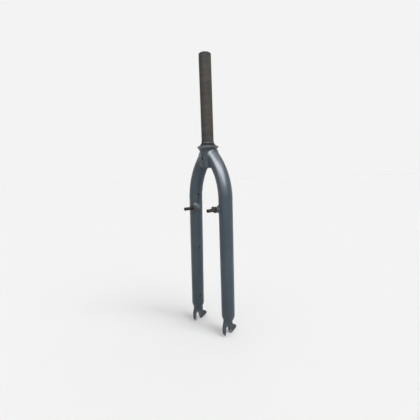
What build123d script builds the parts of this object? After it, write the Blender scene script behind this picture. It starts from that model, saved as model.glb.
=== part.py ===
from build123d import *
import math
import os

# Rigid bicycle fork in millimetres.
# The origin lies on the steerer's axis, in the plane that the crown race sits on.
# +Z runs up the steerer, the bicycle's front is at -Y, and its left side is at +X.

# Steerer
steerer_diameter = 28.6
steerer_bore = 25.4
steerer_height = 208.0
steerer_chamfer = 0.8
race_seat_diameter = 30.0
race_seat_height = 11.5

# Crown race
race_height = 7.0
race_top_diameter = 32.0
race_base_diameter = 42.0
race_base_height = 1.2

# Crown collar
lip_diameter = 50.4
lip_height = 2.6
lip_round = 0.7
neck_diameter = 39.0
neck_low_diameter = 35.5
neck_start = 12.5
neck_depth = 50.0
neck_round = 1.5
crown_hole_diameter = 6.2
crown_hole_depth = 28.0

# Blades
blade_diameter = 33.0
blade_low_diameter = 31.4
blade_end_diameter = 24.0
blade_wall = 1.6
blade_half_spacing = 50.8
blade_setback = 3.0
blade_lead = 4.0
blade_meet_depth = 5.0
bend_radius = 148.0
bend_angle = 36.0
swage_length = 11.0
end_wall = 3.0
vent_diameter = 4.4
vent_first_rise = 54.0
vent_step = 133.0
vent_count = 3
vent_turn = 18.0

# Axle and dropouts
axle_depth = 434.5
axle_offset = 4.5
hub_width = 100.0
dropout_thickness = 6.0
dropout_inset = 0.75
dropout_neck_rise = 20.4
dropout_neck_front = 8.5
dropout_neck_back = 18.0
dropout_front = 12.8
dropout_corner = 3.0
dropout_chamfer = 0.6
tine_length = 15.8
rear_tine_drop = 1.6
slot_width = 10.4
slot_flare = 5.0
slot_front_flare = 2.2
tang_width = 15.0
tang_length = 9.0
eyelet_back = 26.3
eyelet_drop = 7.4
eyelet_diameter = 10.4
eyelet_bore = 4.2

# Rim-brake bosses
boss_rise = 287.0
boss_half_spacing = 39.0
foot_diameter = 13.6
foot_flare_diameter = 20.0
foot_flare_reach = 8.0
foot_back = 1.0
foot_reach = 20.0
plate_thickness = 3.0
plate_diameter = 15.0
tongue_reach = 11.8
tongue_turn = 86.0
tongue_spread = 78.0
tongue_corner = 1.5
spring_hole_diameter = 2.6
spring_hole_circle = 18.4
spring_hole_step = 22.0
spring_hole_count = 3
stud_diameter = 8.0
stud_shank_diameter = 7.0
stud_shank_length = 5.5
stud_collar_diameter = 12.0
stud_collar_height = 2.0
stud_length = 22.0
stud_chamfer = 0.6
stud_bore = 5.0
stud_bore_depth = 16.0

# Star nut inside the steerer
star_depth = 15.0
star_spacing = 9.0
star_thickness = 0.8
star_dish = 2.0
star_petals = 8
star_slot_width = 3.4
star_hub_diameter = 14.0
star_nut_diameter = 9.0
star_nut_bore = 5.0
star_nut_flange = 1.5

# Clearances left by brazing, welding and press fits
joint_gap = 0.05

# Places worked out from the sizes above
axle_lead = blade_lead + axle_offset
bend_rise = bend_radius * math.sin(math.radians(bend_angle))
bend_reach = bend_radius * (1 - math.cos(math.radians(bend_angle)))
top_rise = (blade_half_spacing - bend_reach) / math.tan(math.radians(bend_angle))
bend_depth = blade_meet_depth + bend_rise + top_rise
blade_lean = math.degrees(math.atan2(blade_lead + blade_setback, axle_depth))
axle_run = math.hypot(blade_lead + blade_setback, axle_depth)
blade_run = axle_run - dropout_neck_rise
dropout_middle = hub_width / 2 + dropout_thickness / 2
blade_low_half = dropout_middle + dropout_inset
boss_depth = axle_depth - boss_rise
slot_radius = slot_width / 2
eyelet_radius = eyelet_diameter / 2

leg_place = Pos(0, blade_setback, 0) * Rot(-blade_lean, 0, 0)
boss_plane = Plane(origin=(boss_half_spacing, 0, -boss_depth), x_dir=(1, 0, 0), z_dir=(0, -1, 0))
dropout_plane = Plane(origin=(hub_width / 2, -axle_lead, -axle_depth), x_dir=(0, 1, 0), z_dir=(1, 0, 0))


def turned(*lines):
    """Solid turned about Z from a closed outline drawn in the XZ plane."""
    return revolve(Plane.XZ * make_face(Curve() + list(lines)), Axis.Z)


def rod(diameter, low, high):
    """Cylinder on Z between two heights."""
    upward = (Align.CENTER, Align.CENTER, Align.MIN)
    return Pos(0, 0, low) * Cylinder(diameter / 2, high - low, align=upward)


def crown_hole():
    """Drill that goes through the crown from front to back."""
    drill = Cylinder(crown_hole_diameter / 2, 2 * lip_diameter)
    return Pos(0, 0, -crown_hole_depth) * Rot(90, 0, 0) * drill


def steerer_tube():
    """Bare steerer with its thicker race seat, which runs down through the collar."""
    tube = rod(race_seat_diameter, -neck_depth, race_seat_height)
    tube += rod(steerer_diameter, race_seat_height, steerer_height)
    tube = chamfer(tube.edges().sort_by(Axis.Z)[-1], steerer_chamfer)
    tube -= rod(steerer_bore, -2 * neck_depth, 2 * steerer_height)
    return tube - crown_hole()


def crown_race():
    """Bearing cone pressed onto the race seat."""
    bore = race_seat_diameter / 2 + joint_gap
    base = race_base_diameter / 2
    top = race_top_diameter / 2
    hollow = (top + 0.38 * (base - top), race_base_height + 0.42 * (race_height - race_base_height))
    lines = [
        Polyline((bore, joint_gap), (base, joint_gap), (base, race_base_height)),
        ThreePointArc((base, race_base_height), hollow, (top, race_height)),
        Polyline((top, race_height), (bore, race_height), (bore, joint_gap)),
    ]
    return turned(*lines)


def collar_envelope(grow=0.0):
    """Outside of the crown collar: a lip, a hollow throat and a neck that narrows downwards."""
    lip = lip_diameter / 2 + grow
    neck = neck_diameter / 2 + grow
    neck_low = neck_low_diameter / 2 + grow
    throat_top = (lip, -lip_height - grow)
    throat_low = (neck, -neck_start - grow)
    middle = (neck + 0.3 * (lip - neck), -lip_height - 0.5 * (neck_start - lip_height))
    throat = ThreePointArc(throat_top, middle, throat_low)
    low = -neck_depth - grow
    lines = [
        Polyline((0, low), (0, grow), (lip, grow), throat_top),
        throat,
        Polyline(throat_low, (neck_low, low), (0, low)),
    ]
    return turned(*lines)


def crown_collar():
    """Painted collar that joins the steerer to the two blades."""
    collar = collar_envelope()
    top_rim = collar.edges().filter_by(GeomType.CIRCLE).sort_by(Axis.Z)[-1]
    collar = fillet(top_rim, lip_round)
    low_rim = collar.edges().filter_by(GeomType.CIRCLE).sort_by(Axis.Z)[0]
    collar = fillet(low_rim, neck_round)
    collar -= rod(race_seat_diameter + 2 * joint_gap, -2 * neck_depth, lip_diameter)
    return collar - crown_hole()


def blade_line():
    """Straight, bend and top of the +X blade's centre line, in the blade's own plane."""
    straight = Line((blade_low_half, -blade_run), (blade_half_spacing, -bend_depth))
    bend = JernArc(straight @ 1, straight % 1, bend_radius, bend_angle)
    heading = bend % 1
    top = PolarLine(bend @ 1, (bend @ 1).X / abs(heading.X), direction=heading)
    return straight, bend, top


def blade_solid(inset=0.0, floor=0.0):
    """Round blade along its centre line, drawn in by inset and starting at a height above its end."""
    straight, bend, top = [Plane.XZ * line for line in blade_line()]
    end_radius = blade_end_diameter / 2 - inset
    low_radius = blade_low_diameter / 2 - inset
    radius = blade_diameter / 2 - inset
    length = straight.length
    shoulder = (low_radius, swage_length)
    belly = (0.3 * end_radius + 0.7 * low_radius, floor + 0.5 * (swage_length - floor))
    swage = ThreePointArc((end_radius, floor), belly, shoulder)
    side = Polyline(shoulder, (radius, length), (0, length), (0, floor), (end_radius, floor))
    low_part = turned(swage, side)
    low_part = Plane(origin=straight @ 0, x_dir=(0, 1, 0), z_dir=straight % 0) * low_part
    section = Plane(origin=bend @ 0, x_dir=(0, 1, 0), z_dir=bend % 0) * Circle(radius)
    return low_part + sweep(section, path=Curve() + [bend, top])


def tang_slot():
    """Slot across the blade's end for the dropout's tang, in the part's frame."""
    width = tang_width + 2 * joint_gap
    height = dropout_neck_rise + tang_length + joint_gap
    depth = dropout_thickness + 2 * joint_gap
    slot = Pos(axle_offset, height / 2) * Rectangle(width, height)
    return extrude(dropout_plane.offset(-joint_gap) * slot, depth)


def blade():
    """Hollow +X blade, mitred to the collar, with vent holes on its inner side."""
    tube = blade_solid() - blade_solid(blade_wall, end_wall)
    for index in range(vent_count):
        height = vent_first_rise + index * vent_step - axle_run
        drill = Rot(0, -90, 0) * rod(vent_diameter, 0, blade_diameter)
        share = (height + blade_run) / (blade_run - bend_depth)
        middle = blade_low_half + (blade_half_spacing - blade_low_half) * share
        tube -= Pos(middle, 0, height) * Rot(0, 0, vent_turn) * drill
    tube = leg_place * tube
    tube -= collar_envelope(joint_gap)
    tube -= rod(4 * lip_diameter, 0, 2 * lip_diameter)
    from_left = (Align.MAX, Align.CENTER, Align.CENTER)
    tube -= Pos(joint_gap, 0, 0) * Box(4 * lip_diameter, 4 * lip_diameter, 4 * axle_depth, align=from_left)
    tube -= rod(4 * blade_low_half, -2 * axle_depth, dropout_neck_rise - axle_depth)
    return tube - tang_slot()


def dropout():
    """+X dropout: a plate with a tang, an open axle slot and a rear eyelet."""
    neck = dropout_neck_rise - joint_gap
    tine_back = slot_radius + slot_flare + 0.7 * dropout_corner
    rear_end = -tine_length - rear_tine_drop
    outline = Polyline(
        (-dropout_neck_front, neck),
        (-dropout_front, 0.35 * dropout_neck_rise),
        (-dropout_front, -0.6 * tine_length),
        (-0.68 * dropout_front, -tine_length),
        (0, -tine_length),
        (0, rear_end),
        (tine_back, rear_end),
        (tine_back, 0),
        (dropout_neck_back, 0),
        (dropout_neck_back, neck),
        close=True,
    )
    plate = make_face(outline)
    plate = fillet(plate.vertices().sort_by(Axis.X)[:3], dropout_corner)
    eyelet = Pos(eyelet_back, -eyelet_drop) * Rot(0, 0, 180) * Circle(eyelet_radius)
    tine_end = Pos(tine_back, dropout_corner + rear_end) * Circle(dropout_corner)
    root = Pos(dropout_neck_back - dropout_corner, 0.1 * dropout_neck_rise) * Circle(dropout_corner)
    plate += make_hull((eyelet + tine_end + root).edges())
    mouth = Polyline(
        (-slot_radius, 0),
        (-slot_radius - 2 * slot_front_flare, -2 * tine_length),
        (slot_radius + 2 * slot_flare, -2 * tine_length),
        (slot_radius, 0),
        close=True,
    )
    plate -= make_face(mouth) + Circle(slot_radius)
    solid = extrude(dropout_plane * plate, dropout_thickness)
    for face in (solid.faces().sort_by(Axis.X)[0], solid.faces().sort_by(Axis.X)[-1]):
        rim = face.edges().filter_by(lambda edge: edge.center().Z < neck - axle_depth - 1)
        solid = chamfer(rim, dropout_chamfer)
    tang = Pos(axle_offset, neck + (tang_length - dropout_chamfer) / 2) * Rectangle(tang_width, tang_length)
    solid += extrude(dropout_plane * tang, dropout_thickness)
    drill = Pos(eyelet_back, -eyelet_drop, 0) * Cylinder(eyelet_bore / 2, 4 * dropout_thickness)
    return solid - dropout_plane.location * drill


def boss_foot():
    """Painted foot of the +X brake boss, flared where it is welded to the blade."""
    radius = foot_diameter / 2
    flare = foot_flare_diameter / 2
    neck_reach = 0.5 * (foot_flare_reach + foot_reach)
    middle = (radius + 0.3 * (flare - radius), foot_flare_reach + 0.4 * (neck_reach - foot_flare_reach))
    lines = [
        Polyline((0, foot_back), (radius, foot_back), (flare, foot_flare_reach)),
        ThreePointArc((flare, foot_flare_reach), middle, (radius, neck_reach)),
        Polyline((radius, neck_reach), (radius, foot_reach), (0, foot_reach), (0, foot_back)),
    ]
    foot = turned(*lines)
    socket = foot_reach - stud_shank_length - joint_gap
    foot -= rod(stud_shank_diameter + 2 * joint_gap, socket, 2 * foot_reach)
    return boss_plane.location * foot - leg_place * blade_solid(-joint_gap)


def spring_plate():
    """Bare plate round the +X stud, with holes for the brake's return spring."""
    disc = Circle(plate_diameter / 2)
    middle = 90 + tongue_turn
    rim = CenterArc((0, 0), tongue_reach, middle - tongue_spread / 2, tongue_spread)
    tongue = make_face(Curve() + [rim, Polyline(rim @ 1, (0, 0), rim @ 0)])
    outer_corners = tongue.vertices().filter_by(lambda corner: corner.center().length > plate_diameter / 2)
    tongue = fillet(outer_corners, tongue_corner)
    plate = disc + tongue - Circle(stud_shank_diameter / 2 + joint_gap)
    first = middle - spring_hole_step * (spring_hole_count - 1) / 2
    for index in range(spring_hole_count):
        turn = Rot(0, 0, first + index * spring_hole_step)
        plate -= turn * Pos(spring_hole_circle / 2, 0) * Circle(spring_hole_diameter / 2)
    solid = extrude(Pos(0, 0, foot_reach + joint_gap) * plate, plate_thickness)
    return boss_plane.location * solid


def pivot_stud():
    """Stud that the +X brake arm turns on, with a threaded bore in its tip."""
    seat = foot_reach + plate_thickness + 2 * joint_gap
    tip = seat + stud_collar_height + stud_length
    stud = rod(stud_diameter, seat, tip)
    stud = chamfer(stud.edges().sort_by(Axis.Z)[-1], stud_chamfer)
    stud += rod(stud_collar_diameter, seat, seat + stud_collar_height)
    stud += rod(stud_shank_diameter, foot_reach - stud_shank_length, seat)
    stud -= rod(stud_bore, tip - stud_bore_depth, 2 * tip)
    return boss_plane.location * stud


def star_nut_body():
    """Threaded barrel that holds the two star springs."""
    top = steerer_height - star_depth
    low = top - star_spacing - star_thickness
    barrel = rod(star_nut_diameter, low - 3 * star_nut_flange, top + joint_gap)
    barrel += rod(star_hub_diameter - 2, top + joint_gap, top + star_nut_flange)
    return barrel - rod(star_nut_bore, 0, 2 * steerer_height)


def star_spring(seat):
    """Dished star whose petals grip the steerer's bore, with its hub under a given height."""
    bore = star_nut_diameter / 2 + joint_gap
    hub = star_hub_diameter / 2
    rim = steerer_bore / 2 - joint_gap
    outline = Polyline(
        (bore, seat - star_thickness),
        (hub, seat - star_thickness),
        (rim, seat + star_dish - star_thickness),
        (rim, seat + star_dish),
        (hub, seat),
        (bore, seat),
        close=True,
    )
    star = turned(outline)
    outward = (Align.MIN, Align.CENTER, Align.CENTER)
    slot = Pos(hub, 0, seat) * Box(steerer_bore, star_slot_width, 4 * star_dish, align=outward)
    for index in range(star_petals):
        star -= Rot(0, 0, index * 360 / star_petals) * slot
    return star


def both_sides(name, solid):
    """The +X piece and its mirror image, under the rider's left and right."""
    return {"left_" + name: solid, "right_" + name: mirror(solid, Plane.YZ)}


star_seat = steerer_height - star_depth
pieces = {
    "steerer_tube": steerer_tube(),
    "crown_race": crown_race(),
    "crown_collar": crown_collar(),
    "star_nut_body": star_nut_body(),
    "upper_star_spring": star_spring(star_seat),
    "lower_star_spring": star_spring(star_seat - star_spacing),
}
pieces |= both_sides("blade", blade())
pieces |= both_sides("dropout", dropout())
pieces |= both_sides("boss_foot", boss_foot())
pieces |= both_sides("spring_plate", spring_plate())
pieces |= both_sides("pivot_stud", pivot_stud())

os.makedirs("parts", exist_ok=True)
for node, solid in pieces.items():
    export_step(solid, f"parts/{node}.step")
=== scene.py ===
import math
import bpy
import numpy as np
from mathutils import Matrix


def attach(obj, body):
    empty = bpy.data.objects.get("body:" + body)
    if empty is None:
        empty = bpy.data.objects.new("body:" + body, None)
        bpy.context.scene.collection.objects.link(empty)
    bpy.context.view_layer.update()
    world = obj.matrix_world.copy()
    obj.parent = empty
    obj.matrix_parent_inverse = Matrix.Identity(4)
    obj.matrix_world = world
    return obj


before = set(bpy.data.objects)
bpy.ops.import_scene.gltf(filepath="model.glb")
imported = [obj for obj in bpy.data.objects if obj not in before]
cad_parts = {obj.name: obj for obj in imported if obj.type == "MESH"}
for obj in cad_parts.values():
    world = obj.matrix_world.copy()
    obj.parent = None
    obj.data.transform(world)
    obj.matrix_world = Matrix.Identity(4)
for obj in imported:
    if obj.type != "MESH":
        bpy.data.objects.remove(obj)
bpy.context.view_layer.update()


def colour(red, green, blue):
    return (red, green, blue, 1.0)


def grey(value):
    return colour(value, value, value)


def heading(first, second):
    """Unit vector between two points given as X and Z."""
    dx, dz = second[0] - first[0], second[1] - first[1]
    length = math.hypot(dx, dz)
    return dx / length, dz / length


MM_PER_M = 1000

# Sizes repeated from the part's source, in millimetres. Pairs are X and Z.
LEAN = math.atan2(7.0, 434.5)
SETBACK = 3.0
BLADE_RADIUS = 16.5
BLADE_LOW = (53.75, -414.16)
BEND_START = (50.8, -123.0)
BEND_RADIUS = 148.0
BEND_ANGLE = math.radians(36.0)
BLADE_HEADING = heading(BLADE_LOW, BEND_START)
SWAGE_LENGTH = 11.0
SWAGE_RADIUS = (12.0, 6.66, -2.96)  # at the end, and its growth with the share and its square
NECK_LOW = -50.0
NECK_LENGTH = 37.5
NECK_LOW_RADIUS = 17.75
NECK_WIDENING = 1.75
NECK_ROUND = 1.5
THROAT_LOW = -12.5
THROAT_HEIGHT = 9.9
THROAT_FLARE = 5.7
THROAT_POWER = 1.74
CROWN_HOLE_RADIUS = 3.1
CROWN_HOLE_HEIGHT = -28.0
BOSS = (39.0, -147.5)
FOOT_FLARE_RADIUS = 10.0
FOOT_FLARE_REACH = 8.0
FOOT_NARROWING = 3.2
FOOT_NARROWING_LENGTH = 6.0
FOOT_BACK_SLOPE = 0.457
FOOT_END = 19.5
AXLE_Y, AXLE_Z = -8.5, -434.5
DROPOUT_MIDDLE = 53.0
DROPOUT_HALF_THICKNESS = 3.0
DROPOUT_TOP = -414.1
DROPOUT_FRONT = -17.0
DROPOUT_BACK = 9.5
DROPOUT_WIDENING = (4.3, 13.3)  # forward run and drop of the front edge
FLOOR_HEIGHT = -451.9

# Weld fillets, in millimetres
WELD_GRID = 0.5
WELD_WALL = 0.9
WELD_UNDER = 0.05  # depth of a fillet's toe under the faces
WELD_DIVE = 0.15  # further depth for each millimetre past the toe
WELD_MARGIN = 1.8  # kept past the toe
BEAD_FROM_COLLAR, BEAD_FROM_BLADE = 4.3, 0.35
BEAD_BLEND = 0.8
BEAD_MARGIN = 0.4
BEAD_RADIUS = 1.1
BEAD_GONE, BEAD_FADE = -28.0, 15.0  # height where it is lost, and the rise to its full size
CROWN_WELD_TOP = -5.0
NECK_END = (16.3, -47.0)  # radius and height that bound the hidden inside of the neck's end
CROWN_WELD = (1.2, 3.0, 6.8)  # thinnest, added in the middle, and added there on the -X side
CROWN_WELD_LOW, CROWN_WELD_LOW_FADE = -51.0, 9.0
CROWN_WELD_HIGH, CROWN_WELD_HIGH_FADE = -13.0, 22.0
CROWN_WELD_SIDE_FADE = 16.0
BOSS_WELD = 2.6
DROPOUT_WELD = 4.5
CROWN_BOX = ((-46, -26, -66), (46, 30, -3))
BOSS_BOX = ((22, -22, -166), (58, 4, -128))
DROPOUT_BOX = ((38, -24, -428), (70, 14, -404))
PROBE = 0.05  # step of a numerical slope
SETTLING_ROUNDS = 3

# Camera at the photograph's viewing angle
CAMERA_LENS = 22.714
CAMERA_SENSOR = 36.0
CAMERA_PLACE = (0.45647, -0.45584, -0.0764)
CAMERA_TURN = (83.2871, 1.9396, 44.8058)

# Room and lamps
BACKDROP = grey(0.896)
WORLD_LIGHT = 0.21
FLOOR_HALF_WIDTH = 60.0
FLOOR_SEEN = grey(0.880)
FLOOR_BOUNCE = grey(0.65)
SUNS = (  # name, strength, angle, direction that it shines from
    ("overhead", 1.49, 80.0, (0.1, 0.03, 1.0)),
    ("key", 1.38, 33.0, (1.025, 0.16, 1.25)),
)
SOFTBOX_SIZE = (2.8, 1.15)
SOFTBOX_POWER = 255.0
SOFTBOX_TINT = (0.94, 0.965, 1.0)
SOFTBOX_PLACE = (0.74, -1.26, 1.11)
SOFTBOX_TARGET = (0.0, 0.0, -0.1)

# Paint. Places, heights and radii are in metres.
PAINT = colour(0.060, 0.088, 0.113)
PAINT_DUSTY = colour(0.075, 0.103, 0.127)
SCUFFED = colour(0.15, 0.16, 0.165)
# Darker colour: painted shade on the lower legs, and the dropouts' darker paint
DARKENING = colour(0.026, 0.028, 0.029)
# Painted shade for the vent holes
PAINTED_HOLE_SHADE = grey(0.008)
STEEL = colour(0.32, 0.32, 0.315)
# Painted shade and a painted highlight, in bands by height
PAINTED_LIGHT_BANDS = (  # low and high, share at each, colour
    (-0.42, -0.28, 0.28, 0.0, DARKENING),  # painted shade, darker towards the bottom of the legs
    (-0.075, -0.035, 0.0, 0.30, colour(0.026, 0.030, 0.034)),  # painted shade over the crown's neck and the tops of the blades
    (-0.0054, -0.0042, 0.0, 0.8, colour(0.175, 0.18, 0.186)),  # painted highlight: pale band on the lip
    (-0.0018, -0.0010, 0.0, 0.85, colour(0.018, 0.019, 0.020)),  # painted shadow along the top edge of the lip, under the race
)
# Bare-steel chips that are also painted highlights
GLINT_CHIPS = (  # place, full radius, outer radius, share
    ((0.0043, -0.0183, -0.0270), 0.0010, 0.0020, 0.8),  # bare-steel chip at the crown's hole, also a painted highlight on its rim
    ((-0.0411, -0.0122, -0.1368), 0.0012, 0.0022, 0.9),  # bare-steel chip over the right boss, also a painted glint
)
VENT_RIM_GLINTS = (  # painted highlights on the vent holes' rims, on both blades, as bare-steel spots
    ((0.0370, -0.0079, -0.2455), 0.0006, 0.0014, 0.8),
    ((0.0385, -0.0107, -0.3804), 0.0006, 0.0014, 0.8),
)
VENT_HOLE_SHADES = (  # painted shade in and around the vent holes, on both blades
    ((0.0374, -0.0058, -0.2474), 0.00245, 0.0027, 0.9),
    ((0.0387, -0.0079, -0.3804), 0.00245, 0.0027, 0.9),
)
DROPOUT_CHIP = (0.0560, 0.0015, -0.4461)


def make_camera():
    data = bpy.data.cameras.new("camera")
    data.lens = CAMERA_LENS
    data.sensor_width = CAMERA_SENSOR
    camera = bpy.data.objects.new("camera", data)
    camera.location = CAMERA_PLACE
    camera.rotation_euler = [math.radians(angle) for angle in CAMERA_TURN]
    bpy.context.scene.collection.objects.link(camera)
    bpy.context.scene.camera = camera


# Node-tree helpers
def new_material(name):
    """Material with its node tree and shader."""
    material = bpy.data.materials.new(name)
    material.use_nodes = True
    tree = material.node_tree
    return material, tree, tree.nodes["Principled BSDF"]


def feed(tree, socket, value):
    if isinstance(value, bpy.types.NodeSocket):
        tree.links.new(value, socket)
    else:
        socket.default_value = value


def place_of(tree):
    return tree.nodes.new("ShaderNodeTexCoord").outputs["Object"]


def along(tree, axis):
    node = tree.nodes.new("ShaderNodeSeparateXYZ")
    tree.links.new(place_of(tree), node.inputs[0])
    return node.outputs[axis]


def stretched(tree, scale, location=(0.0, 0.0, 0.0)):
    mapping = tree.nodes.new("ShaderNodeMapping")
    tree.links.new(place_of(tree), mapping.inputs["Vector"])
    mapping.inputs["Scale"].default_value = scale
    mapping.inputs["Location"].default_value = location
    return mapping.outputs["Vector"]


def noise(tree, scale, detail, rough=0.55, vector=None):
    node = tree.nodes.new("ShaderNodeTexNoise")
    tree.links.new(vector or place_of(tree), node.inputs["Vector"])
    node.inputs["Scale"].default_value = scale
    node.inputs["Detail"].default_value = detail
    node.inputs["Roughness"].default_value = rough
    return node.outputs["Fac"]


def span(tree, value, low, high, to_low=0.0, to_high=1.0):
    """Smooth step from to_low at low to to_high at high."""
    node = tree.nodes.new("ShaderNodeMapRange")
    node.interpolation_type = "SMOOTHSTEP"
    tree.links.new(value, node.inputs["Value"])
    node.inputs["From Min"].default_value = low
    node.inputs["From Max"].default_value = high
    node.inputs["To Min"].default_value = to_low
    node.inputs["To Max"].default_value = to_high
    return node.outputs["Result"]


def maths(tree, operation, first, second=0.0):
    node = tree.nodes.new("ShaderNodeMath")
    node.operation = operation
    feed(tree, node.inputs[0], first)
    feed(tree, node.inputs[1], second)
    return node.outputs[0]


def added(tree, first, second):
    return maths(tree, "ADD", first, second)


def times(tree, first, second):
    return maths(tree, "MULTIPLY", first, second)


def larger(tree, first, second):
    return maths(tree, "MAXIMUM", first, second)


def hypotenuse(tree, first, second):
    squares = added(tree, times(tree, first, first), times(tree, second, second))
    return maths(tree, "SQRT", squares)


def mixed(tree, share, first, second):
    node = tree.nodes.new("ShaderNodeMix")
    node.data_type = "RGBA"
    feed(tree, node.inputs[0], share)
    feed(tree, node.inputs[6], first)
    feed(tree, node.inputs[7], second)
    return node.outputs[2]


def bump(tree, height, depth, strength, under=None):
    node = tree.nodes.new("ShaderNodeBump")
    node.inputs["Strength"].default_value = strength
    node.inputs["Distance"].default_value = depth
    tree.links.new(height, node.inputs["Height"])
    if under:
        tree.links.new(under, node.inputs["Normal"])
    return node.outputs["Normal"]


def distance(tree, place, source=None):
    node = tree.nodes.new("ShaderNodeVectorMath")
    node.operation = "DISTANCE"
    tree.links.new(source or place_of(tree), node.inputs[0])
    node.inputs[1].default_value = place
    return node.outputs["Value"]


def spot(tree, place, full, outer, share, source=None):
    return span(tree, distance(tree, place, source), full, outer, share, 0.0)


def folded(tree):
    """Place with both sides of the fork laid on +X."""
    node = tree.nodes.new("ShaderNodeCombineXYZ")
    tree.links.new(maths(tree, "ABSOLUTE", along(tree, "X")), node.inputs[0])
    tree.links.new(along(tree, "Y"), node.inputs[1])
    tree.links.new(along(tree, "Z"), node.inputs[2])
    return node.outputs[0]


# Materials
def paint_layers(tree):
    """Colour, chipped spots, painted highlights, painted shade and bump of the slate-blue paint,
    shared by every painted piece.
    """
    half = folded(tree)
    chips_and_glints = span(tree, noise(tree, 210.0, 2.0, 0.45), 0.735, 0.76)
    shifted = stretched(tree, (1, 1, 1), (0.4, 0.1, 0.7))
    chips_and_glints = times(tree, chips_and_glints, span(tree, noise(tree, 18.0, 2.0, vector=shifted), 0.5, 0.66))
    # Spots of bare steel that are also painted highlights
    for chip in GLINT_CHIPS:
        chips_and_glints = larger(tree, chips_and_glints, spot(tree, *chip))
    for chip in VENT_RIM_GLINTS:
        chips_and_glints = larger(tree, chips_and_glints, spot(tree, *chip, half))

    cloud = span(tree, noise(tree, 22.0, 4.0), 0.3, 0.75)
    base = mixed(tree, cloud, PAINT, PAINT_DUSTY)
    scuffs = noise(tree, 60.0, 5.0, 0.7, vector=stretched(tree, (1.0, 1.0, 0.18)))
    base = mixed(tree, span(tree, scuffs, 0.62, 0.74, 0.0, 0.18), base, SCUFFED)
    # Painted shade and a painted highlight, in bands by height
    height = along(tree, "Z")
    for low, high, at_low, at_high, shade in PAINTED_LIGHT_BANDS:
        base = mixed(tree, span(tree, height, low, high, at_low, at_high), base, shade)
    # Painted shade over the vent holes
    for shaded_hole in VENT_HOLE_SHADES:
        base = mixed(tree, spot(tree, *shaded_hole, half), base, PAINTED_HOLE_SHADE)

    peel = bump(tree, noise(tree, 650.0, 2.0), 0.00006, 0.35)
    dents = bump(tree, maths(tree, "SUBTRACT", 1.0, chips_and_glints), 0.00012, 0.8, peel)
    return base, chips_and_glints, dents


def paint_shader(shader):
    shader.inputs["Specular IOR Level"].default_value = 0.3
    shader.inputs["Coat Weight"].default_value = 0.08
    shader.inputs["Coat Roughness"].default_value = 0.2
    shader.inputs["Coat IOR"].default_value = 1.35


def paint(name, smooth, rough):
    material, tree, shader = new_material(name)
    base, chips_and_glints, normal = paint_layers(tree)
    uneven = span(tree, noise(tree, 45.0, 4.0), 0.3, 0.7, smooth, rough)
    # Bare steel at the chips and at the painted highlight spots
    feed(tree, shader.inputs["Base Color"], mixed(tree, chips_and_glints, base, STEEL))
    feed(tree, shader.inputs["Metallic"], times(tree, chips_and_glints, 0.7))
    feed(tree, shader.inputs["Roughness"], uneven)
    feed(tree, shader.inputs["Normal"], normal)
    paint_shader(shader)
    return material


def dropout_wear(tree):
    """Share of bare steel on the dropouts: hub ring, slot's rim, low edge and one chip."""
    from_y = maths(tree, "SUBTRACT", along(tree, "Y"), AXLE_Y / MM_PER_M)
    from_z = maths(tree, "SUBTRACT", along(tree, "Z"), AXLE_Z / MM_PER_M)
    ragged = maths(tree, "SUBTRACT", noise(tree, 160.0, 4.0, 0.65), 0.5)
    ragged = times(tree, ragged, 0.005)
    inner = maths(tree, "ABSOLUTE", along(tree, "X"))
    inner = span(tree, inner, 0.0512, 0.0518, 1.0, 0.0)
    front = span(tree, from_y, -0.002, 0.004, 1.0, 0.15)
    rubbed = times(tree, inner, front)

    reach = added(tree, hypotenuse(tree, from_y, from_z), ragged)
    inside_ring = span(tree, reach, 0.0096, 0.0104)
    ring = times(tree, inside_ring, span(tree, reach, 0.0116, 0.0124, 0.25, 0.0))

    above = larger(tree, from_z, 0.0)
    flare = times(tree, maths(tree, "MINIMUM", from_z, 0.0), 0.126)
    edge = added(tree, hypotenuse(tree, from_y, above), flare)
    edge = added(tree, edge, times(tree, ragged, 0.3))
    slot = span(tree, edge, 0.0070, 0.0084, 1.0, 0.0)

    low = span(tree, added(tree, along(tree, "Z"), ragged), -0.4503, -0.4490, 0.5, 0.0)
    chip = added(tree, distance(tree, DROPOUT_CHIP), ragged)
    low = larger(tree, low, span(tree, chip, 0.0024, 0.0042, 0.7, 0.0))
    return larger(tree, times(tree, larger(tree, ring, slot), rubbed), low)


def worn_paint():
    """Paint of the dropouts, rubbed to steel by the hub's faces and in the slot."""
    material, tree, shader = new_material("worn_paint")
    base, chips_and_glints, normal = paint_layers(tree)
    # The dropouts' paint is darker overall
    base = mixed(tree, 0.22, base, DARKENING)
    worn = larger(tree, chips_and_glints, dropout_wear(tree))
    uneven = span(tree, noise(tree, 90.0, 4.0), 0.3, 0.7, 0.36, 0.55)
    feed(tree, shader.inputs["Base Color"], mixed(tree, worn, base, STEEL))
    feed(tree, shader.inputs["Metallic"], times(tree, worn, 0.2))
    feed(tree, shader.inputs["Roughness"], uneven)
    feed(tree, shader.inputs["Normal"], normal)
    paint_shader(shader)
    return material


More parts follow.
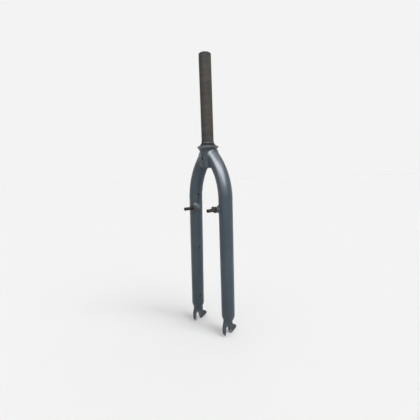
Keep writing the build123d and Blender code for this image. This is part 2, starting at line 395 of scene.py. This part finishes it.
def steerer_steel():
    """Dull brownish tube with rub bands and a bright bare band over the race."""
    material, tree, shader = new_material("steerer_steel")
    rings = noise(tree, 55.0, 5.0, 0.65, vector=stretched(tree, (0.12, 0.12, 1.0)))
    blotch = noise(tree, 30.0, 4.0, 0.6)
    lines = noise(tree, 420.0, 3.0, 0.6, vector=stretched(tree, (0.05, 0.05, 1.0)))
    dark, light = colour(0.084, 0.077, 0.071), colour(0.122, 0.113, 0.106)
    base = mixed(tree, span(tree, rings, 0.36, 0.66), dark, light)
    brown = span(tree, blotch, 0.45, 0.7, 0.0, 0.6)
    base = mixed(tree, brown, base, colour(0.086, 0.076, 0.067))
    height = added(tree, along(tree, "Z"), times(tree, blotch, 0.004))
    bright = span(tree, height, 0.0105, 0.0125, 0.8, 0.0)
    base = mixed(tree, bright, base, colour(0.13, 0.127, 0.12))
    gloss = added(tree, times(tree, bright, 0.3), 0.03)
    feed(tree, shader.inputs["Base Color"], base)
    feed(tree, shader.inputs["Roughness"], span(tree, rings, 0.3, 0.7, 0.5, 0.66))
    feed(tree, shader.inputs["Normal"], bump(tree, lines, 0.00004, 0.4))
    feed(tree, shader.inputs["Specular IOR Level"], gloss)
    return material


def turned_steel(name, dark, light, rust, metallic, gloss, smooth, rough, scale):
    """Bare turned steel, with a share of rust."""
    material, tree, shader = new_material(name)
    grain = noise(tree, scale, 4.0, 0.6)
    base = mixed(tree, span(tree, grain, 0.35, 0.65), dark, light)
    specks = span(tree, noise(tree, 2.2 * scale, 4.0, 0.7), 0.5, 0.64, 0.0, rust)
    base = mixed(tree, specks, base, colour(0.16, 0.085, 0.045))
    pits = bump(tree, noise(tree, 5 * scale, 3.0), 0.00005, 0.35)
    feed(tree, shader.inputs["Base Color"], base)
    feed(tree, shader.inputs["Roughness"], span(tree, grain, 0.3, 0.7, smooth, rough))
    feed(tree, shader.inputs["Normal"], pits)
    shader.inputs["Metallic"].default_value = metallic
    shader.inputs["Specular IOR Level"].default_value = gloss
    return material


# Distances in millimetres from the solids that the welds join. A point p holds X, Y and Z.
def leg_local(p):
    """Place in the leaning plane of the +X blade."""
    y, z = p[1] - SETBACK, p[2]
    across = y * math.cos(LEAN) - z * math.sin(LEAN)
    return np.abs(p[0]), across, y * math.sin(LEAN) + z * math.cos(LEAN)


def to_segment(x, y, z, first, second):
    dx, dz = second[0] - first[0], second[1] - first[1]
    share = ((x - first[0]) * dx + (z - first[1]) * dz) / (dx * dx + dz * dz)
    share = np.clip(share, 0, 1)
    return np.sqrt((x - first[0] - share * dx) ** 2 + y ** 2 + (z - first[1] - share * dz) ** 2)


def blade_gap(p):
    """Distance outside the +X blade, with its swaged end left out."""
    x, y, z = leg_local(p)
    dx, dz = BLADE_HEADING
    centre = (BEND_START[0] - BEND_RADIUS * dz, BEND_START[1] + BEND_RADIUS * dx)
    first = math.atan2(-dx, dz)
    last = first + BEND_ANGLE
    turn = np.clip(np.arctan2(z - centre[1], x - centre[0]), first, last)
    to_arc = np.sqrt((x - centre[0] - BEND_RADIUS * np.cos(turn)) ** 2 + y ** 2
                     + (z - centre[1] - BEND_RADIUS * np.sin(turn)) ** 2)
    end = (centre[0] + BEND_RADIUS * math.cos(last), centre[1] + BEND_RADIUS * math.sin(last))
    upward = (-math.sin(last), math.cos(last))
    top = (0.0, end[1] + upward[1] * end[0] / -upward[0])
    gap = np.minimum(to_arc, to_segment(x, y, z, end, top))
    return np.minimum(gap, to_segment(x, y, z, BLADE_LOW, BEND_START)) - BLADE_RADIUS


def collar_gap(p):
    """Distance outside the crown collar, below its lip."""
    rise = np.clip((p[2] - NECK_LOW) / NECK_LENGTH, 0, 1)
    neck = NECK_LOW_RADIUS + NECK_WIDENING * rise
    throat = THROAT_FLARE * np.clip((p[2] - THROAT_LOW) / THROAT_HEIGHT, 0, 1) ** THROAT_POWER
    side = np.hypot(p[0], p[1]) - neck - throat + NECK_ROUND
    below = NECK_LOW + NECK_ROUND - p[2]
    outside = np.hypot(np.maximum(side, 0), np.maximum(below, 0))
    return outside + np.minimum(np.maximum(side, below), 0) - NECK_ROUND


def boss_gap(p):
    """Distance outside the +X brake boss's foot."""
    reach = -p[1]
    radius = np.hypot(np.abs(p[0]) - BOSS[0], p[2] - BOSS[1])
    share = np.clip((reach - FOOT_FLARE_REACH) / FOOT_NARROWING_LENGTH, 0, 1)
    flare = FOOT_FLARE_RADIUS - FOOT_NARROWING * share * (2 - share)
    side = radius - flare + np.maximum(FOOT_FLARE_REACH - reach, 0) * FOOT_BACK_SLOPE
    return np.maximum(side, reach - FOOT_END)


def blade_end_gap(p):
    """Distance outside the +X blade's swaged end."""
    x, y, z = leg_local(p)
    dx, dz = BLADE_HEADING
    rise = (x - BLADE_LOW[0]) * dx + (z - BLADE_LOW[1]) * dz
    off = np.hypot((x - BLADE_LOW[0]) * dz - (z - BLADE_LOW[1]) * dx, y)
    share = np.clip(rise / SWAGE_LENGTH, 0, 1)
    end, growth, bend = SWAGE_RADIUS
    return np.maximum(off - (end + growth * share + bend * share ** 2), -rise)


def dropout_gap(p):
    """Distance outside the +X dropout's neck."""
    run, drop = DROPOUT_WIDENING
    front = DROPOUT_FRONT - run * (DROPOUT_TOP - p[2]) / drop
    flat = np.abs(np.abs(p[0]) - DROPOUT_MIDDLE) - DROPOUT_HALF_THICKNESS
    edge = np.maximum(p[1] - DROPOUT_BACK, front - p[1])
    return np.maximum(np.maximum(flat, p[2] - DROPOUT_TOP), edge)


# Weld fillets, as smooth unions of the solids that they join
def smooth_union(first, second, size):
    overlap = np.maximum(size - np.abs(first - second), 0) / size
    return np.minimum(first, second) - overlap * overlap * size / 4


def surface_net(values, low, step):
    """Vertices and quads of the zero surface of values on a regular grid."""
    inside = values < 0
    cells = tuple(n - 1 for n in values.shape)
    total = np.zeros(cells + (3,))
    count = np.zeros(cells)
    corners = [(i, j, k) for i in (0, 1) for j in (0, 1) for k in (0, 1)]
    for corner in corners:
        for axis in range(3):
            if corner[axis]:
                continue
            other = list(corner)
            other[axis] = 1
            here = tuple(slice(c, c + n) for c, n in zip(corner, cells))
            there = tuple(slice(c, c + n) for c, n in zip(other, cells))
            crossed = inside[here] != inside[there]
            gap = np.where(crossed, values[here] - values[there], 1.0)
            point = np.zeros(cells + (3,)) + np.array(corner, float)
            point[..., axis] = values[here] / gap
            total += np.where(crossed[..., None], point, 0.0)
            count += crossed
    used = count > 0
    index = np.full(cells, -1)
    index[used] = np.arange(used.sum())
    points = np.array(low) + step * (np.argwhere(used) + total[used] / count[used][:, None])
    quads = []
    for axis in range(3):
        a, b = (axis + 1) % 3, (axis + 2) % 3
        start = [slice(1, n) for n in cells]
        start[axis] = slice(0, cells[axis])
        ahead = list(start)
        ahead[axis] = slice(1, cells[axis] + 1)
        first, second = inside[tuple(start)], inside[tuple(ahead)]
        at = np.argwhere(first != second)
        outward = first[first != second]
        at[:, a] += 1
        at[:, b] += 1
        ring = []
        for da, db in ((1, 1), (0, 1), (0, 0), (1, 0)):
            place = at.copy()
            place[:, a] -= da
            place[:, b] -= db
            ring.append(index[tuple(place.T)])
        ring = np.array(ring).T
        ring[~outward] = ring[~outward][:, ::-1]
        quads.append(ring)
    return points, np.concatenate(quads)


def settled(points, field):
    """Points moved along the field's slope onto its zero surface."""
    for _ in range(SETTLING_ROUNDS):
        value = field(points)
        steps = PROBE * np.eye(3)
        slope = np.array([(field(points + step[:, None]) - value) / PROBE for step in steps])
        points = points - value * slope / np.maximum((slope ** 2).sum(0), 0.2)
    return points


def pierced(points, quads, hole, field):
    """Quads outside a bore along Y, with their border drawn in to its radius."""
    radius, x, z = hole
    reach = np.hypot(points[0] - x, points[2] - z)
    quads = quads[(reach > radius)[quads].all(1)]
    edges = np.concatenate([quads[:, [a, (a + 1) % 4]] for a in range(4)])
    edges, count = np.unique(np.sort(edges, axis=1), axis=0, return_counts=True)
    rim = np.unique(edges[count == 1])
    rim = rim[reach[rim] < radius + 2.5 * WELD_GRID]
    points[0, rim] = x + (points[0, rim] - x) * radius / reach[rim]
    points[2, rim] = z + (points[2, rim] - z) * radius / reach[rim]
    across = np.array([[0.0], [PROBE], [0.0]])
    for _ in range(SETTLING_ROUNDS):
        value = field(points[:, rim])
        slope = (field(points[:, rim] + across) - value) / PROBE
        points[1, rim] -= value / slope
    return quads


def weld(name, first, second, box, size, material, side=1.0, keep=None, bead=None, hole=None):
    """Painted fillet over the seam between two solids. Past its toe it dives under their faces."""
    low, high = box
    axes = [np.arange(a, b + WELD_GRID, WELD_GRID) for a, b in zip(low, high)]

    def ridge(p):
        return np.hypot(first(p) - BEAD_FROM_COLLAR, second(p) - BEAD_FROM_BLADE) - bead(p)

    def past_toe(p):
        blend = size(p)
        toe = blend - np.sqrt(4 * WELD_UNDER * blend)
        past = np.abs(first(p) - second(p)) - toe
        return np.minimum(past, ridge(p) - BEAD_MARGIN) if bead else past

    def field(p):
        joined = smooth_union(first(p), second(p), size(p))
        if bead:
            joined = smooth_union(joined, ridge(p), BEAD_BLEND)
        return joined + WELD_UNDER + WELD_DIVE * np.maximum(past_toe(p), 0)

    points, quads = surface_net(field(np.meshgrid(*axes, indexing="ij")), low, WELD_GRID)
    points = settled(points.T, field)
    shown = past_toe(points) < WELD_MARGIN
    if keep:
        shown &= keep(points)
    quads = quads[shown[quads].all(1)]
    if hole:
        quads = pierced(points, quads, hole, field)
    used = np.unique(quads)
    order = np.zeros(points.shape[1], int)
    order[used] = np.arange(len(used))
    places = points[:, used].T / MM_PER_M
    places[:, 0] *= side
    faces = order[quads]
    if side < 0:
        faces = faces[:, ::-1]

    mesh = bpy.data.meshes.new(name)
    mesh.from_pydata(places.tolist(), [], faces.tolist())
    mesh.update()
    mesh.shade_smooth()
    mesh.materials.append(material)
    piece = bpy.data.objects.new(name, mesh)
    bpy.context.scene.collection.objects.link(piece)
    wall = piece.modifiers.new("wall", "SOLIDIFY")
    wall.thickness = WELD_WALL / MM_PER_M
    wall.offset = -1.0
    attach(piece, "root")


def below_lip(p):
    """Points of the crown weld that are kept: under the lip, and not inside the neck's end."""
    radius, height = NECK_END
    outside = (np.hypot(p[0], p[1]) > radius) | (p[2] > height)
    return (p[2] < CROWN_WELD_TOP) & outside


def crown_bead(p):
    """Radius of the raised bead, which fades out down the seam."""
    fade = np.clip((p[2] - BEAD_GONE) / BEAD_FADE, 0, 1)
    return 2 * BEAD_RADIUS * fade - BEAD_RADIUS


def crown_size(p):
    """Fillet at the crown, fuller in the middle of its height and on the -X side."""
    thin, middle, extra = CROWN_WELD
    far = np.clip(0.5 - p[0] / CROWN_WELD_SIDE_FADE, 0, 1)
    full = np.clip((p[2] - CROWN_WELD_LOW) / CROWN_WELD_LOW_FADE, 0, 1)
    full = full * np.clip((CROWN_WELD_HIGH - p[2]) / CROWN_WELD_HIGH_FADE, 0, 1)
    return thin + (middle + extra * far) * full


def boss_size(p):
    return BOSS_WELD


def dropout_size(p):
    return DROPOUT_WELD


def add_welds(material, boss_material):
    weld("crown_weld", collar_gap, blade_gap, CROWN_BOX, crown_size, material,
         keep=below_lip, bead=crown_bead, hole=(CROWN_HOLE_RADIUS, 0.0, CROWN_HOLE_HEIGHT))
    for name, side in (("left", 1.0), ("right", -1.0)):
        weld(name + "_boss_weld", boss_gap, blade_gap, BOSS_BOX, boss_size, boss_material, side)
        weld(name + "_dropout_weld", blade_end_gap, dropout_gap, DROPOUT_BOX, dropout_size,
             material, side)


# Room
def make_floor():
    size = FLOOR_HALF_WIDTH
    z = FLOOR_HEIGHT / MM_PER_M
    corners = [(-size, -size, z), (size, -size, z), (size, size, z), (-size, size, z)]
    mesh = bpy.data.meshes.new("floor")
    mesh.from_pydata(corners, [], [(0, 1, 2, 3)])
    floor = bpy.data.objects.new("floor", mesh)
    bpy.context.scene.collection.objects.link(floor)
    material, tree, shader = new_material("pale_floor")
    path = tree.nodes.new("ShaderNodeLightPath")
    shade = mixed(tree, path.outputs["Is Diffuse Ray"], FLOOR_SEEN, FLOOR_BOUNCE)
    feed(tree, shader.inputs["Base Color"], shade)
    shader.inputs["Roughness"].default_value = 1.0
    shader.inputs["Specular IOR Level"].default_value = 0.0
    mesh.materials.append(material)


def make_world():
    world = bpy.data.worlds.new("studio")
    world.use_nodes = True
    bpy.context.scene.world = world
    tree = world.node_tree
    shown = tree.nodes["Background"]
    shown.inputs["Color"].default_value = BACKDROP
    shown.inputs["Strength"].default_value = 1.0
    light = tree.nodes.new("ShaderNodeBackground")
    light.inputs["Color"].default_value = grey(1.0)
    light.inputs["Strength"].default_value = WORLD_LIGHT
    path = tree.nodes.new("ShaderNodeLightPath")
    seen = larger(tree, path.outputs["Is Camera Ray"], path.outputs["Is Glossy Ray"])
    seen = larger(tree, seen, path.outputs["Is Transmission Ray"])
    mix = tree.nodes.new("ShaderNodeMixShader")
    tree.links.new(seen, mix.inputs[0])
    tree.links.new(light.outputs[0], mix.inputs[1])
    tree.links.new(shown.outputs[0], mix.inputs[2])
    tree.links.new(mix.outputs[0], tree.nodes["World Output"].inputs["Surface"])


def place_lamp(name, data, place, target):
    """Lamp at a place, aimed at a target."""
    lamp = bpy.data.objects.new(name, data)
    lamp.location = place
    direction = lamp.location - type(lamp.location)(target)
    lamp.rotation_euler = direction.to_track_quat("Z", "Y").to_euler()
    bpy.context.scene.collection.objects.link(lamp)
    return lamp


def make_lamps():
    for name, strength, angle, place in SUNS:
        data = bpy.data.lights.new(name, "SUN")
        data.energy = strength
        data.angle = math.radians(angle)
        place_lamp(name, data, place, (0.0, 0.0, 0.0))
    data = bpy.data.lights.new("softbox", "AREA")
    data.shape = "RECTANGLE"
    data.size, data.size_y = SOFTBOX_SIZE
    data.energy = SOFTBOX_POWER
    data.color = SOFTBOX_TINT
    softbox = place_lamp("softbox", data, SOFTBOX_PLACE, SOFTBOX_TARGET)
    softbox.visible_diffuse = False


def dress(pieces, finishes, otherwise):
    """Give each CAD piece the first finish whose word is in its name."""
    for name, node in pieces.items():
        material = next((finish for word, finish in finishes if word in name), otherwise)
        node.data.materials.clear()
        node.data.materials.append(material)


make_camera()
slate = paint("slate_paint", 0.3, 0.4)
dull = paint("dull_paint", 0.6, 0.75)
race = turned_steel("race_steel", colour(0.022, 0.024, 0.026), colour(0.036, 0.038, 0.041),
                    rust=0.05, metallic=0.0, gloss=0.03, smooth=0.5, rough=0.62, scale=160.0)
stud = turned_steel("boss_steel", colour(0.036, 0.034, 0.032), colour(0.066, 0.062, 0.058),
                    rust=0.1, metallic=0.0, gloss=0.1, smooth=0.45, rough=0.6, scale=240.0)
plate = turned_steel("plate_steel", colour(0.075, 0.073, 0.072), colour(0.17, 0.165, 0.16),
                     rust=0.15, metallic=0.0, gloss=0.15, smooth=0.4, rough=0.55, scale=420.0)
zinc = turned_steel("zinc", colour(0.3, 0.3, 0.29), colour(0.42, 0.42, 0.41),
                    rust=0.12, metallic=0.9, gloss=0.5, smooth=0.3, rough=0.45, scale=240.0)
finishes = (
    ("dropout", worn_paint()),
    ("steerer_tube", steerer_steel()),
    ("crown_race", race),
    ("foot", dull),
    ("stud", stud),
    ("plate", plate),
    ("star", zinc),
)
dress(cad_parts, finishes, slate)
add_welds(slate, dull)
make_floor()
make_world()
make_lamps()
bpy.context.scene.view_settings.view_transform = "Standard"
